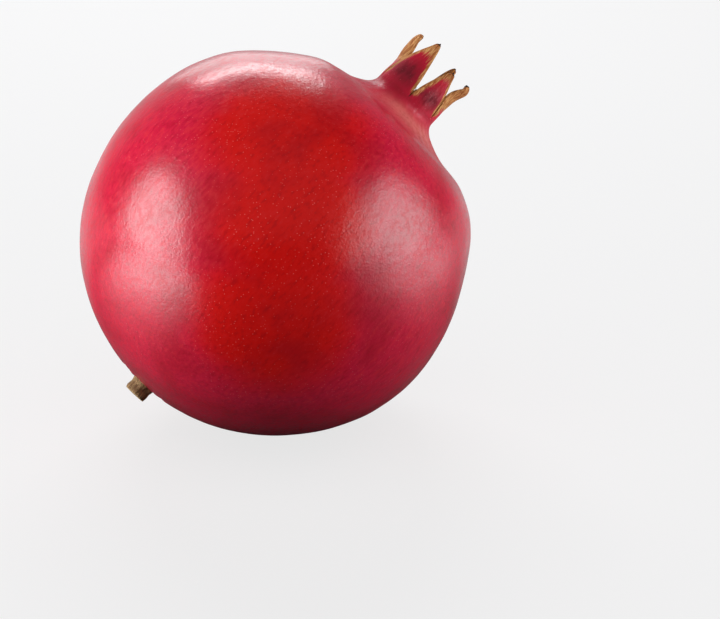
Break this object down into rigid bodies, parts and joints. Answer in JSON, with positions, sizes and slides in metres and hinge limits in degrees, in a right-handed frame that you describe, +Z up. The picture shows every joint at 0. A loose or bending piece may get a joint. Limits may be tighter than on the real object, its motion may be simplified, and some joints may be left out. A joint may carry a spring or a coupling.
{
  "type": "pomegranate",
  "caption": "Whole ripe pomegranate lying on a small flat spot, its tubular crown of pointed sepals tilted up, with dried stamens in the crown and a cut stem stub.",
  "frame": {"origin": "centre of the small flat spot that the fruit lies on", "axes": "+Z up from the surface; +X to the side that the crown leans to; -Y towards the viewer of the picture"},
  "size_m": [0.0921, 0.0919, 0.0914],
  "materials": {
    "rind": "smooth leathery red rind with a waxy sheen, blotched and finely dotted; brown dried edges on the sepals",
    "stamens": "dry, matt, straw to brown",
    "stem": "matt grey-brown bark with a paler cut end"
  },
  "bodies": {
    "root": {"fruit": "rind", "stamens": "stamens", "stem_stub": "stem"}
  },
  "joints": []
}
